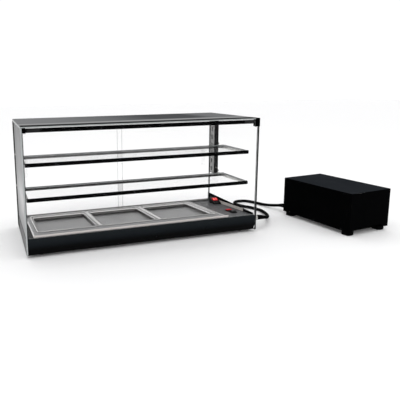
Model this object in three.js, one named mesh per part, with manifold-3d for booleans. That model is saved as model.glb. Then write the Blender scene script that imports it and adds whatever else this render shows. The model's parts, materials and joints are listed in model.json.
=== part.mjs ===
// Countertop food display case with a remote service unit on a black hose.
// Millimetres, +Z up, the floor at z = 0. The case's front faces -Y.
import * as THREE from "three";
import { mergeVertices } from "three/addons/utils/BufferGeometryUtils.js";
import Module from "manifold-3d";

const wasm = await Module();
wasm.setup();

// Case body
const CASE_W = 1000;
const CASE_D = 449;
const CASE_H = 507;
const FOOT_H = 12;
const BASE_TOP = 80;
const WALL_TOP = 86;
const REAR_WALL_TOP = 46;
const SHEET = 2;
const GAP = 0.3;
const GLASS_T = 8;
const TOP_T = 5.7;
const INNER_X0 = GLASS_T + GAP;
const INNER_X1 = CASE_W - GLASS_T - GAP;
const FASCIA_D = 12;

// Sloping deck: its frame starts at the front edge and falls to the back
const DECK_SLOPE = 4.1 * Math.PI / 180;
const DECK_Y = 4;
const DECK_Z = 78;
const DECK_T = 1.5;
const DECK_LEN = 414;
const WELL_X0 = 30;
const WELL_X1 = 865;
const PAN_T = 1.2;
const PAN_U0 = 3;
const PAN_LEN = 413.6;
const LIP_H = 10;
const WELL_DEPTH = 22;

// Gastronorm 1/2 trays, 20 mm deep
const TRAY_W = 265;
const TRAY_L = 325;
const TRAY_DEPTH = 18;
const TRAY_T = 1;
const TRAY_RIM = 13;
const TRAY_PITCH = 267;
const TRAY_X0 = 51;
const TRAY_U0 = 88;

// Glass shelves
const SHELF_X0 = 18;
const SHELF_X1 = 986;
const SHELF_Y0 = 60;
const SHELF_Y1 = 282;
const SHELF_T = 6;
const PROFILE_H = 15;
const PROFILE_D = 14;
const PROFILE_LIP = 4;
const REAR_BAR_H = 8;
const ARM_W = 6;
const SHELF_TOPS = { lower: 222, upper: 360 };

// Rear posts, tracks and sliding doors
const POST_W = 22;
const POST_Y0 = 349;
const POST_Y1 = 391;
const COVER_T = 3;
const POST_Z0 = 205;
const POST_Z1 = 500.5;
const TRACK_Y0 = 418;
const TRACK_Y1 = 446;
const DOOR_T = 4;
const DOOR_W = 499;
const DOOR_Z0 = 49;
const DOOR_Z1 = 494;
const DOOR_YS = { left: 424, right: 436 };
const PULL_INSET = 22;
const PULL_W = 22;
const PULL_T = 4;
const PULL_Z0 = 235;
const PULL_Z1 = 325;

// Front glass, light profile and corner caps
const CAP_W = 19;
const CAP_Z0 = { left: 482, right: 471 };
const CAP_LUG_D = 20;
const CAP_FRONT = -2.5;
const FRONT_T = 5;
const FRONT_Z0 = 81.5;
const SHOULDER_GAP = 1.5;
const FRONT_Z1 = 499;
const LED_Y0 = 8;
const LED_Y1 = 26;
const LED_Z0 = 483;
const LED_Z1 = 498;

// Remote unit, in its own frame: x across its front, y to its back
const UNIT_POS = [1331.4, -197];
const UNIT_TURN = 6.45 * Math.PI / 180;
const UNIT_W = 237;
const UNIT_D = 400;
const UNIT_Z0 = 18;
const UNIT_Z1 = 188.5;
const UNIT_SHEET = 1.5;
const UNIT_FOOT_R = 20;
const FAN_R = 58;
const FAN_X = 155;
const FAN_Z = 104;
const FAN_DEPTH = 22;

// Hose: an oval of centre points from the case's gland to the unit's gland
const HOSE_R = 7.5;
const GLAND_SHANK_R = 10.5;
const HOSE_SIDES = 10;
const HOSE_STEPS = 64;
const GLAND_Y = 31;
const GLAND_Z = 57;
const UNIT_GLAND_X = 35;
const UNIT_GLAND_Z = 32;
const HOSE_ROUTE = [
  [1012, 31, 57], [1028, 31, 57], [1045, 33, 55.4], [1068, 42.5, 50], [1098, 66.5, 40], [1130, 105, 28.5],
  [1161, 151, 19], [1187, 203, 12.5], [1202, 252, 9.5], [1204, 298, 8], [1191, 340, 8], [1171, 375, 8],
  [1155, 410.4, 8], [1151.5, 438.7, 8], [1162.7, 464.9, 8], [1185.4, 482, 8], [1213.7, 485.5, 8],
  [1239.9, 474.3, 8], [1258, 451, 8], [1270, 419, 8], [1281, 382, 9], [1290.5, 344, 12.5], [1299.5, 306, 19],
  [1308.5, 272, 26.5], [1314.6, 250, 31.2], [1317.7, 236, 32], [1319, 224, 32], [1320.4, 212.4, 32],
];

function finish(color, roughness, metalness, extra = {}) {
  return new THREE.MeshStandardMaterial({ color, roughness, metalness, ...extra });
}

const glassLook = { transparent: true, opacity: 0.25 };
const MAT = {
  blackGloss: finish(0x1b2125, 0.28, 0.2),
  blackMatte: finish(0x101214, 0.55, 0.1),
  deck: finish(0x3c3f41, 0.35, 0.4),
  steel: finish(0xc4c5c4, 0.3, 1.0),
  glass: finish(0xd9e3e2, 0.05, 0.0, glassLook),
  smoked: finish(0x5a5c60, 0.08, 0.0, { transparent: true, opacity: 0.75 }),
  alu: finish(0x9a9a98, 0.4, 0.9),
  plastic: finish(0x0c0d0e, 0.45, 0.0),
  rubber: finish(0x0a0a0a, 0.8, 0.0),
  diffuser: finish(0xf4f4f0, 0.6, 0.0),
  red: finish(0xd81420, 0.3, 0.0),
  nickel: finish(0xb8b9b4, 0.25, 1.0),
  core: finish(0x8c8e90, 0.4, 1.0),
};

function named(name, geometry, material) {
  const mesh = new THREE.Mesh(geometry, material);
  mesh.name = name;
  return mesh;
}

function block(x0, x1, y0, y1, z0, z1) {
  const geometry = new THREE.BoxGeometry(x1 - x0, y1 - y0, z1 - z0);
  return geometry.translate((x0 + x1) / 2, (y0 + y1) / 2, (z0 + z1) / 2);
}

function solid(geometry) {
  const bare = geometry.clone();
  bare.deleteAttribute("normal");
  bare.deleteAttribute("uv");
  const merged = mergeVertices(bare, 1e-4);
  return new wasm.Manifold(new wasm.Mesh({
    numProp: 3,
    vertProperties: new Float32Array(merged.attributes.position.array),
    triVerts: new Uint32Array(merged.index.array),
  }));
}

function surface(body) {
  const mesh = body.getMesh();
  const geometry = new THREE.BufferGeometry();
  geometry.setAttribute("position", new THREE.BufferAttribute(mesh.vertProperties, 3));
  geometry.setIndex(new THREE.BufferAttribute(mesh.triVerts, 1));
  const flat = geometry.toNonIndexed();
  flat.computeVertexNormals();
  return flat;
}

function cut(base, ...tools) {
  return surface(tools.reduce((body, tool) => body.subtract(solid(tool)), solid(base)));
}

function join(...parts) {
  return surface(parts.map(solid).reduce((body, part) => body.add(part)));
}

function outline(points) {
  return new THREE.Shape(points.map(([a, b]) => new THREE.Vector2(a, b)));
}

function roundedOutline(x0, x1, y0, y1, r) {
  const shape = new THREE.Shape();
  shape.moveTo(x0 + r, y0);
  shape.lineTo(x1 - r, y0);
  shape.absarc(x1 - r, y0 + r, r, -Math.PI / 2, 0);
  shape.lineTo(x1, y1 - r);
  shape.absarc(x1 - r, y1 - r, r, 0, Math.PI / 2);
  shape.lineTo(x0 + r, y1);
  shape.absarc(x0 + r, y1 - r, r, Math.PI / 2, Math.PI);
  shape.lineTo(x0, y0 + r);
  shape.absarc(x0 + r, y0 + r, r, Math.PI, Math.PI * 1.5);
  return shape;
}

// A plan outline in XY raised from z0 to z1
function raise(shape, z0, z1, curveSegments = 4) {
  const geometry = new THREE.ExtrudeGeometry(shape, { depth: z1 - z0, bevelEnabled: false, curveSegments });
  return geometry.translate(0, 0, z0);
}

// A side outline in YZ drawn along X from x0 to x1
function drawX(points, x0, x1) {
  const geometry = new THREE.ExtrudeGeometry(outline(points), { depth: x1 - x0, bevelEnabled: false });
  const turn = new THREE.Matrix4().set(0, 0, 1, x0, 1, 0, 0, 0, 0, 1, 0, 0, 0, 0, 0, 1);
  return geometry.applyMatrix4(turn);
}

// A front outline in XZ drawn along Y from y0 to y1
function drawY(shape, y0, y1, curveSegments = 6) {
  const geometry = new THREE.ExtrudeGeometry(shape, { depth: y1 - y0, bevelEnabled: false, curveSegments });
  return geometry.rotateX(Math.PI / 2).translate(0, y1, 0);
}

function lathe(profile, sides) {
  return new THREE.LatheGeometry(profile.map(([r, h]) => new THREE.Vector2(r, h)), sides);
}

// Base ---------------------------------------------------------------------

function baseTub() {
  const [y0, y1] = [FASCIA_D + GAP, CASE_D - SHEET];
  const shell = block(INNER_X0, INNER_X1, y0, y1, FOOT_H, WALL_TOP);
  const inside = block(INNER_X0 + SHEET, INNER_X1 - SHEET, y0 + SHEET, y1 - SHEET, FOOT_H + SHEET, WALL_TOP + 1);
  const frontTop = block(INNER_X0 + SHEET, INNER_X1 - SHEET, y0 - 1, y0 + SHEET + 1, DECK_Z - 5, WALL_TOP + 1);
  const rearTop = block(INNER_X0 + SHEET, INNER_X1 - SHEET, y1 - SHEET - 1, y1 + 1, REAR_WALL_TOP - 4, WALL_TOP + 1);
  return named("base_tub", cut(shell, inside, frontTop, rearTop), MAT.blackMatte);
}

// Fascia with its lower third folded back under the base
function frontFascia() {
  const fold = FOOT_H + 22;
  const profile = [
    [0, BASE_TOP], [0, fold], [FASCIA_D - SHEET, FOOT_H], [FASCIA_D, FOOT_H],
    [FASCIA_D, FOOT_H + 3], [SHEET, fold + 1], [SHEET, BASE_TOP],
  ];
  return named("front_fascia", drawX(profile, INNER_X0, INNER_X1), MAT.blackGloss);
}

function foot(name, x, y) {
  const profile = [[0, 0], [13, 0], [15, 2], [15, FOOT_H], [0, FOOT_H]];
  const mesh = named(name, lathe(profile, 20).rotateX(Math.PI / 2), MAT.rubber);
  mesh.position.set(x, y, 0);
  return mesh;
}

function wallTrim() {
  const x1 = INNER_X1 - SHEET;
  const shape = [[100, 75.5], [100, 83], [318, 83], [318, 60]];
  return named("side_wall_trim", drawX(shape, x1 - 1.5, x1), MAT.alu);
}

// Deck, well pan and trays, all built flat and tilted together ------------

function deckPlate() {
  const x0 = INNER_X0 + SHEET + GAP;
  const x1 = INNER_X1 - SHEET - GAP - 1.5;
  const plate = block(x0, x1, 0, DECK_LEN, -DECK_T, 0);
  const opening = block(WELL_X0 + 3, WELL_X1 - 3, 6, PAN_LEN - 3, -DECK_T - 1, 1);
  return named("deck_plate", cut(plate, opening), MAT.deck);
}

function wellPan() {
  const z0 = GAP;
  const z1 = GAP + PAN_T;
  const parts = [
    block(WELL_X0, WELL_X1, PAN_U0, PAN_LEN, z0, z1),
    block(WELL_X0, WELL_X1, PAN_U0, PAN_U0 + PAN_T, z0, z1 + LIP_H),
  ];
  const pockets = [];
  for (let i = 0; i < 3; i += 1) {
    const x0 = TRAY_X0 + i * TRAY_PITCH + 8;
    const x1 = x0 + TRAY_W - 16;
    const [u0, u1] = [TRAY_U0 + 8, TRAY_U0 + TRAY_L - 8];
    parts.push(block(x0 - PAN_T, x1 + PAN_T, u0 - PAN_T, u1 + PAN_T, -WELL_DEPTH, z1));
    pockets.push(block(x0, x1, u0, u1, -WELL_DEPTH + PAN_T, z1 + 1));
  }
  const pan = parts.map(solid).reduce((body, part) => body.add(part));
  const open = pockets.map(solid).reduce((body, pocket) => body.subtract(pocket), pan);
  return named("well_pan", surface(open), MAT.steel);
}

function tray(name, index) {
  const x0 = TRAY_X0 + index * TRAY_PITCH;
  const [x1, u0, u1] = [x0 + TRAY_W, TRAY_U0, TRAY_U0 + TRAY_L];
  const z1 = GAP + PAN_T + GAP + TRAY_T;
  const z0 = z1 - TRAY_DEPTH;
  const inset = (margin, r) => roundedOutline(x0 + margin, x1 - margin, u0 + margin, u1 - margin, r);
  const rim = raise(inset(0, 12), z1 - TRAY_T, z1);
  const bowl = raise(inset(TRAY_RIM, 16), z0, z1 - TRAY_T / 2);
  const hollow = raise(inset(TRAY_RIM + TRAY_T, 15), z0 + TRAY_T, z1 + 1);
  const body = solid(rim).add(solid(bowl)).subtract(solid(hollow));
  return named(name, surface(body), MAT.steel);
}

// Thermostat: a wedge block with its display on the sloping front
const THERMO = { x0: 952, x1: 987.5, u0: 296, u1: 352, low: 7, high: 27, shelf: 10 };
const BUTTON_V = 11;
const BUTTON_XS = [10, 25];
const THERMO_TILT = Math.atan2(THERMO.high - THERMO.low, THERMO.u1 - THERMO.u0 - THERMO.shelf);

function thermostat() {
  const { x0, x1, u0, u1, low, high, shelf } = THERMO;
  const z = GAP;
  const profile = [[u0, z], [u1, z], [u1, z + high], [u1 - shelf, z + high], [u0, z + low]];
  const group = new THREE.Group();
  group.add(named("thermostat_body", drawX(profile, x0, x1), MAT.plastic));
  const face = new THREE.Group();
  face.position.set(x0, u0, z + low);
  face.rotation.x = THERMO_TILT;
  face.add(named("thermostat_window", block(4, 31, 21, 44, GAP, 2), MAT.red));
  for (const [i, x] of BUTTON_XS.entries()) {
    const button = lathe([[0, 0], [4.5, 0], [4.5, 2.4], [3.7, 3], [0, 3]], 14).rotateX(Math.PI / 2);
    const mesh = named(`thermostat_button_${i + 1}`, button, MAT.plastic);
    mesh.position.set(x, BUTTON_V, 1.5);
    face.add(mesh);
  }
  group.add(face);
  return group;
}

// Two rocker switches in raised bezels on one plate; each rocker rests tipped to the front
const SWITCH_X = 938;
const SWITCH_US = { light: 90, power: 131 };
const SWITCH_W = 24;
const SWITCH_L = 32;
const BEZEL_WALL = 2.5;
const BEZEL_H = 4;
const ROCKER_TILT = 8 * Math.PI / 180;

function switchPlate() {
  const [x0, x1] = [SWITCH_X - SWITCH_W / 2, SWITCH_X + SWITCH_W / 2];
  const half = SWITCH_L / 2;
  const bezels = Object.values(SWITCH_US).map((u) => block(x0, x1, u - half, u + half, GAP, GAP + BEZEL_H));
  const wells = Object.values(SWITCH_US).map((u) => block(
    x0 + BEZEL_WALL, x1 - BEZEL_WALL, u - half + BEZEL_WALL, u + half - BEZEL_WALL, GAP + 1, GAP + BEZEL_H + 1,
  ));
  const base = block(x0, x1, SWITCH_US.light, SWITCH_US.power, GAP, GAP + 1);
  return named("switch_plate", cut(join(base, ...bezels), ...wells), MAT.plastic);
}

function rocker(name, u, material) {
  const kx = SWITCH_W / 2 - BEZEL_WALL - 0.6;
  const ky = SWITCH_L / 2 - BEZEL_WALL - 1.4;
  const profile = [[-ky, 0], [0, -1.6], [ky, 0], [ky - 0.4, 3.4], [0, 2.2], [-ky + 0.4, 3.4]];
  const key = named(name, drawX(profile, -kx, kx), material);
  key.position.set(SWITCH_X, u, GAP + 4.4);
  key.rotation.x = -ROCKER_TILT;
  return key;
}

function deckAssembly() {
  const deck = new THREE.Group();
  deck.position.set(0, DECK_Y, DECK_Z);
  deck.rotation.x = -DECK_SLOPE;
  deck.add(deckPlate(), wellPan());
  ["left", "centre", "right"].forEach((side, i) => deck.add(tray(`tray_${side}`, i)));
  deck.add(thermostat());
  deck.add(switchPlate(), rocker("power_rocker", SWITCH_US.power, MAT.red));
  deck.add(rocker("light_rocker", SWITCH_US.light, MAT.plastic));
  return deck;
}

// Glass envelope -----------------------------------------------------------

function sideGlass(name, x0, gland) {
  const pane = block(x0, x0 + GLASS_T, GAP, CASE_D, FOOT_H, CASE_H - TOP_T - GAP);
  if (!gland) {
    return named(name, pane, MAT.glass);
  }
  const bore = new THREE.CylinderGeometry(GLAND_SHANK_R + 1, GLAND_SHANK_R + 1, GLASS_T + 2, 24).rotateZ(Math.PI / 2);
  bore.translate(x0 + GLASS_T / 2, GLAND_Y, GLAND_Z);
  return named(name, cut(pane, bore), MAT.glass);
}

function topGlass() {
  return named("top_glass", block(0, CASE_W, GAP, CASE_D, CASE_H - TOP_T, CASE_H), MAT.smoked);
}

// Hinge blocks in the top front corners; the right one also caps the front edges of the glass
function cornerCaps() {
  const under = CASE_H - TOP_T - GAP;
  const left = block(INNER_X0, CAP_W, GAP, CAP_LUG_D, CAP_Z0.left, under);
  const plate = block(CASE_W - CAP_W, CASE_W, CAP_FRONT, 0, CAP_Z0.right, CASE_H);
  const lug = block(CASE_W - CAP_W, INNER_X1, CAP_FRONT, CAP_LUG_D, CAP_Z0.right, under);
  return [
    named("corner_cap_left", left, MAT.blackMatte),
    named("corner_cap_right", join(plate, lug), MAT.blackMatte),
  ];
}

// The pane steps in at its top corners, below each cap
function frontGlass() {
  const [a, b] = [INNER_X0 + GAP, INNER_X1 - GAP];
  const [c, d] = [CAP_W + 2 * GAP, CASE_W - CAP_W - 2 * GAP];
  const [left, right] = [CAP_Z0.left - SHOULDER_GAP, CAP_Z0.right - SHOULDER_GAP];
  const pane = outline([
    [a, FRONT_Z0], [b, FRONT_Z0], [b, right], [d, right], [d, FRONT_Z1], [c, FRONT_Z1], [c, left], [a, left],
  ]);
  return named("front_glass", drawY(pane, GAP, GAP + FRONT_T), MAT.glass);
}

function lightProfile() {
  const [x0, x1] = [CAP_W + GAP, CASE_W - CAP_W - GAP];
  const channel = [
    [LED_Y0, LED_Z0], [LED_Y0, LED_Z1 - 3], [LED_Y0 + 3, LED_Z1], [LED_Y1, LED_Z1], [LED_Y1, LED_Z0],
    [LED_Y1 - 2, LED_Z0], [LED_Y1 - 2, LED_Z0 + 4], [LED_Y0 + 4, LED_Z0 + 4], [LED_Y0 + 4, LED_Z0],
  ];
  const diffuser = block(x0 + 2, x1 - 2, LED_Y0 + 4 + GAP, LED_Y1 - 2 - GAP, LED_Z0 + 0.5, LED_Z0 + 3.7);
  return [
    named("light_profile", drawX(channel, x0, x1), MAT.blackMatte),
    named("light_diffuser", diffuser, MAT.diffuser),
  ];
}

// Shelves ------------------------------------------------------------------

// A pane in the rabbet of its front bar, lying on the rear bar and on an arm at each end
function shelfParts(level) {
  const top = SHELF_TOPS[level];
  const [low, ledge] = [top - PROFILE_H, top - SHELF_T - GAP];
  const [lip, inner] = [SHELF_Y0 + PROFILE_LIP, SHELF_Y0 + PROFILE_D];
  const front = [[SHELF_Y0, low], [inner, low], [inner, ledge], [lip, ledge], [lip, top], [SHELF_Y0, top]];
  const [x0, x1] = [SHELF_X0 + ARM_W + GAP, SHELF_X1 - ARM_W - GAP];
  const rear = block(x0, x1, SHELF_Y1 - PROFILE_D, SHELF_Y1, ledge - REAR_BAR_H, ledge);
  return [
    named(`shelf_glass_${level}`, block(SHELF_X0, SHELF_X1, lip + GAP, SHELF_Y1, top - SHELF_T, top), MAT.glass),
    named(`shelf_front_bar_${level}`, drawX(front, SHELF_X0, SHELF_X1), MAT.blackMatte),
    named(`shelf_rear_bar_${level}`, rear, MAT.blackMatte),
  ];
}

// Arm that hooks into a rear post and runs forward under the shelf's end to its front bar
function shelfArm(level, side) {
  const x0 = side === "left" ? SHELF_X0 : SHELF_X1 - ARM_W;
  const ledge = SHELF_TOPS[level] - SHELF_T - GAP;
  const [y0, y1] = [SHELF_Y0 + PROFILE_D + GAP, POST_Y0 - COVER_T - 2 * GAP];
  const profile = [[y0, ledge - 7], [y1, ledge - 14], [y1, ledge], [y0, ledge]];
  return named(`shelf_arm_${level}_${side}`, drawX(profile, x0, x0 + ARM_W), MAT.nickel);
}

// Rear posts, tracks and doors ----------------------------------------------

function rearPost(side) {
  const x0 = side === "left" ? INNER_X0 : INNER_X1 - POST_W;
  const x1 = x0 + POST_W;
  const slots = [];
  for (let z = POST_Z0 + 14; z < POST_Z1 - 30; z += 40) {
    slots.push(block(x0 + 2, x1 - 2, POST_Y0 - 1, POST_Y1 - 3, z, z + 22));
    slots.push(block(x0 - 1, x1 + 1, POST_Y0 + 18, POST_Y0 + 28, z, z + 22));
  }
  return [
    named(`rear_post_${side}`, cut(block(x0, x1, POST_Y0, POST_Y1, POST_Z0, POST_Z1), ...slots), MAT.alu),
    named(`post_cover_${side}`, block(x0, x1, POST_Y0 - COVER_T - GAP, POST_Y0 - GAP, POST_Z0, POST_Z1), MAT.blackMatte),
  ];
}

function trackProfile(z0, z1, floorZ) {
  const rib = 1.8;
  const groove = DOOR_T + 2;
  const [g1, g2] = [DOOR_YS.left - 1, DOOR_YS.right - 1];
  const points = [[TRACK_Y0, z0], [TRACK_Y0, z1], [g1, z1], [g1, floorZ], [g1 + groove, floorZ], [g1 + groove, z1]];
  points.push([g2, z1], [g2, floorZ], [g2 + groove, floorZ], [g2 + groove, z1]);
  points.push([g2 + groove + rib, z1], [g2 + groove + rib, z0]);
  return points;
}

function tracks() {
  const bottom = trackProfile(REAR_WALL_TOP - 3.7, REAR_WALL_TOP + 7, REAR_WALL_TOP + 2);
  const top = trackProfile(CASE_H - TOP_T - GAP, DOOR_Z1 - 10, DOOR_Z1 + 3);
  const edge = SHEET + GAP;
  return [
    named("rear_bottom_track", drawX(bottom.reverse(), INNER_X0 + edge, INNER_X1 - edge), MAT.alu),
    named("rear_top_track", drawX(top, INNER_X0, INNER_X1), MAT.blackMatte),
  ];
}

// A sliding pane with a clear block bonded on as its pull
function door(side) {
  const left = side === "left";
  const y0 = DOOR_YS[side];
  const x0 = left ? INNER_X0 + 3 : INNER_X1 - 3 - DOOR_W;
  const pull = left ? x0 + PULL_INSET : x0 + DOOR_W - PULL_INSET - PULL_W;
  const grip = roundedOutline(pull, pull + PULL_W, PULL_Z0, PULL_Z1, 6);
  return [
    named(`door_${side}`, block(x0, x0 + DOOR_W, y0, y0 + DOOR_T, DOOR_Z0, DOOR_Z1), MAT.glass),
    named(`door_pull_${side}`, drawY(grip, y0 + DOOR_T, y0 + DOOR_T + PULL_T), MAT.glass),
  ];
}

// Remote unit ----------------------------------------------------------------

function unitChassis() {
  const t = UNIT_SHEET;
  const [x1, y1, z1] = [UNIT_W - t - GAP, UNIT_D, UNIT_Z1 - t - GAP];
  const shell = block(t + GAP, x1, 0, y1, UNIT_Z0, z1);
  const inside = block(t, x1 + 1, t, y1 - t, UNIT_Z0 + t, z1 + 1);
  const arch = drawY(roundedOutline(26, UNIT_W - 34, UNIT_Z0 - 13, UNIT_Z0 + 13, 12), -1, 14);
  const fanHole = new THREE.CylinderGeometry(FAN_R + 3, FAN_R + 3, 6, 40).translate(FAN_X, y1, FAN_Z);
  const holeR = GLAND_SHANK_R + 0.5;
  const hoseHole = new THREE.CylinderGeometry(holeR, holeR, 6, 20).translate(UNIT_GLAND_X, y1, UNIT_GLAND_Z);
  const inletHole = block(28, 58, y1 - 3, y1 + 3, 136, 158);
  return named("unit_chassis", cut(shell, inside, arch, fanHole, hoseHole, inletHole), MAT.blackMatte);
}

function unitCover() {
  const t = UNIT_SHEET;
  const shell = block(0, UNIT_W, 0, UNIT_D, UNIT_Z0, UNIT_Z1);
  const inside = block(t, UNIT_W - t, -1, UNIT_D + 1, UNIT_Z0 - 1, UNIT_Z1 - t);
  const louvres = [];
  for (let i = 0; i < 8; i += 1) {
    const y = 70 + i * 14;
    louvres.push(block(UNIT_W - t - 1, UNIT_W + 1, y, y + 5, 50, 150));
  }
  return named("unit_cover", cut(shell, inside, ...louvres), MAT.blackMatte);
}

function unitFoot(name, x, y) {
  const r = UNIT_FOOT_R;
  const shape = roundedOutline(x - r, x + r, y - r, y + r, 11);
  return named(name, raise(shape, 0, UNIT_Z0), MAT.rubber);
}

function turnedY(profile, sides, x, y, z) {
  return lathe(profile, sides).translate(x, y, z);
}

// Guard of rings and spokes over the fan opening, with the motor on its inner face
function fanGuard() {
  const y0 = UNIT_D + GAP;
  const ring = (r, w) => turnedY([[r, 0], [r + w, 0], [r + w, 2.5], [r, 2.5], [r, 0]], 36, FAN_X, y0, FAN_Z);
  const parts = [ring(FAN_R - 2, 8), ring(38, 2.5), ring(20, 2.5)];
  parts.push(turnedY([[0, -8], [17, -8], [19, -6], [19, 0], [9, 2.5], [0, 2.5]], 24, FAN_X, y0, FAN_Z));
  for (let i = 0; i < 4; i += 1) {
    const spoke = block(-1.5, 1.5, 0, 2.5, 5, FAN_R + 2).rotateY(Math.PI / 4 + i * Math.PI / 2);
    parts.push(spoke.translate(FAN_X, y0, FAN_Z));
  }
  return named("unit_fan_guard", join(...parts), MAT.blackMatte);
}

function fanRotor() {
  const hub = lathe([[0, 0], [20, 0], [22, 2], [22, FAN_DEPTH], [0, FAN_DEPTH]], 24);
  const parts = [hub];
  for (let i = 0; i < 7; i += 1) {
    const blade = block(-15, 15, -1, 1, 18, FAN_R - 3).rotateZ(0.55).translate(0, FAN_DEPTH / 2, 0);
    parts.push(blade.rotateY(i * 2 * Math.PI / 7));
  }
  const mesh = named("unit_fan_rotor", join(...parts), MAT.plastic);
  mesh.position.set(FAN_X, UNIT_D - FAN_DEPTH - 9, FAN_Z);
  return mesh;
}

function unitCore() {
  const body = block(40, UNIT_W - 30, 205, 250, UNIT_Z0 + UNIT_SHEET, 172);
  const grooves = [];
  for (let i = 0; i < 13; i += 1) {
    const x = 46 + i * 12;
    grooves.push(block(x, x + 6, 200, 220, 24, 165));
    grooves.push(block(x, x + 6, 235, 255, 24, 165));
  }
  return named("unit_heat_exchanger", cut(body, ...grooves), MAT.core);
}

function inlet() {
  const outer = block(25, 61, UNIT_D + GAP, UNIT_D + 3, 133, 161);
  const neck = block(29, 57, UNIT_D - 22, UNIT_D + 1, 137, 157);
  const socket = block(32, 54, UNIT_D - 17, UNIT_D + 4, 141, 154);
  const body = solid(outer).add(solid(neck)).subtract(solid(socket));
  return named("unit_mains_inlet", surface(body), MAT.plastic);
}

// Cable gland: shank through the wall, hexagon, domed nut, open bore
function glandSolid() {
  const r = GLAND_SHANK_R;
  const shank = lathe([[0, 0], [r, 0], [r, 10], [0, 10]], 20);
  const hex = lathe([[0, 8], [r + 4.5, 8], [r + 4.5, 18], [0, 18]], 6);
  const dome = lathe([[0, 17], [r + 2, 17], [r + 2, 26], [r - 0.8, 31], [0, 31]], 20);
  const bore = new THREE.CylinderGeometry(HOSE_R + 2 * GAP, HOSE_R + 2 * GAP, 80, 20);
  return cut(join(shank, hex, dome), bore);
}

function unitAssembly() {
  const unit = new THREE.Group();
  unit.position.set(UNIT_POS[0], UNIT_POS[1], 0);
  unit.rotation.z = UNIT_TURN;
  unit.add(unitChassis(), unitCover(), fanGuard(), fanRotor(), unitCore(), inlet());
  const [fx, fy] = [24, 30];
  unit.add(unitFoot("unit_foot_front_left", fx, fy), unitFoot("unit_foot_front_right", UNIT_W - fx, fy));
  unit.add(unitFoot("unit_foot_rear_left", fx, UNIT_D - fy));
  unit.add(unitFoot("unit_foot_rear_right", UNIT_W - fx, UNIT_D - fy));
  const gland = named("unit_hose_gland", glandSolid(), MAT.nickel);
  gland.position.set(UNIT_GLAND_X, UNIT_D - 7.5, UNIT_GLAND_Z);
  unit.add(gland);
  return unit;
}

// Case-side gland and the hose ------------------------------------------------

function caseGland() {
  const mesh = named("hose_gland", glandSolid(), MAT.nickel);
  mesh.rotation.z = -Math.PI / 2;
  mesh.position.set(CASE_W - GLASS_T + 0.6, GLAND_Y, GLAND_Z);
  return mesh;
}

function hose() {
  const path = new THREE.CatmullRomCurve3(HOSE_ROUTE.map((p) => new THREE.Vector3(...p)), false, "centripetal");
  const section = new THREE.Shape();
  for (let i = 0; i < HOSE_SIDES; i += 1) {
    const a = i * 2 * Math.PI / HOSE_SIDES;
    section[i ? "lineTo" : "moveTo"](HOSE_R * Math.cos(a), HOSE_R * Math.sin(a));
  }
  section.closePath();
  const geometry = new THREE.ExtrudeGeometry(section, { steps: HOSE_STEPS, extrudePath: path, bevelEnabled: false });
  return named("hose", geometry, MAT.rubber);
}

// Whole object, centred over its footprint --------------------------------------

const parts = new THREE.Group();
parts.add(baseTub(), frontFascia(), wallTrim(), deckAssembly());
parts.add(foot("foot_front_left", 60, 50), foot("foot_front_right", CASE_W - 60, 50));
parts.add(foot("foot_rear_left", 60, CASE_D - 40), foot("foot_rear_right", CASE_W - 60, CASE_D - 40));
parts.add(sideGlass("side_glass_left", 0, false), sideGlass("side_glass_right", CASE_W - GLASS_T, true));
parts.add(topGlass(), ...cornerCaps());
parts.add(frontGlass(), ...lightProfile());
parts.add(...shelfParts("lower"), ...shelfParts("upper"));
for (const level of ["lower", "upper"]) {
  parts.add(shelfArm(level, "left"), shelfArm(level, "right"));
}
parts.add(...rearPost("left"), ...rearPost("right"), ...tracks(), ...door("left"), ...door("right"));
parts.add(caseGland(), unitAssembly());

const footprint = new THREE.Box3().setFromObject(parts, true).getCenter(new THREE.Vector3());
parts.add(hose());
parts.position.set(-footprint.x, -footprint.y, 0);

const model = new THREE.Group();
model.name = "food_display_case";
model.add(parts);
export default model;
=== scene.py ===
import json
import math

import bmesh
import bpy
import numpy as np
from mathutils import Matrix, Vector


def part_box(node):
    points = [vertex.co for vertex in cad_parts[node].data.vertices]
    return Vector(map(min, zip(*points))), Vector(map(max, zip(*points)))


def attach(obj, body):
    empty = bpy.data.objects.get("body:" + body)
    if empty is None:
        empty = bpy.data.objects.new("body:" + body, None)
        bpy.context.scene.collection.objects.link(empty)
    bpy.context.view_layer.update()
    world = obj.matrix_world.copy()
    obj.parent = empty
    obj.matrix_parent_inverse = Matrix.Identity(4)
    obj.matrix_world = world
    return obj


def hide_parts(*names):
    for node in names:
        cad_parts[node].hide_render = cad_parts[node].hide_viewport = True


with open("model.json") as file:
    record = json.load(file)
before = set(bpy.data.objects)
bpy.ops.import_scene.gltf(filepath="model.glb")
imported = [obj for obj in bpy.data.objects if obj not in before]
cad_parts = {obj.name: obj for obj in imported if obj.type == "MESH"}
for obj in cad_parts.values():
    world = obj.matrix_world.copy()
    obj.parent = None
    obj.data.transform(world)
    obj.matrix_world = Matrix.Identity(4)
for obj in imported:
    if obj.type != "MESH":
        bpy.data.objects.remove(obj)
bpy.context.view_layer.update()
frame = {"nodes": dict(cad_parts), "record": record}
NODES = frame["nodes"]
BODY_OF = {n: b for b, ns in frame["record"]["behaviour"]["bodies"].items() for n in ns}
SLOT_OF = {s["node"]: s["material_slot"] for s in frame["record"]["subparts"]}

MM = 0.001
TOP_LOW, TOP_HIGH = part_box("top_glass")
CORNER = Vector((TOP_LOW.x, TOP_LOW.y - 0.3 * MM, 0))


def at(x, y, z):
    """A point measured in mm from the case's front left bottom corner."""
    return CORNER + Vector((x, y, z)) * MM


DECK_SLOPE = math.radians(4.1)
DECK_Y, DECK_Z = 4, 78
UNIT_X, UNIT_Y, UNIT_TURN = 1331.4, -197, math.radians(6.45)
UNIT_W, UNIT_D = 237, 400


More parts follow.
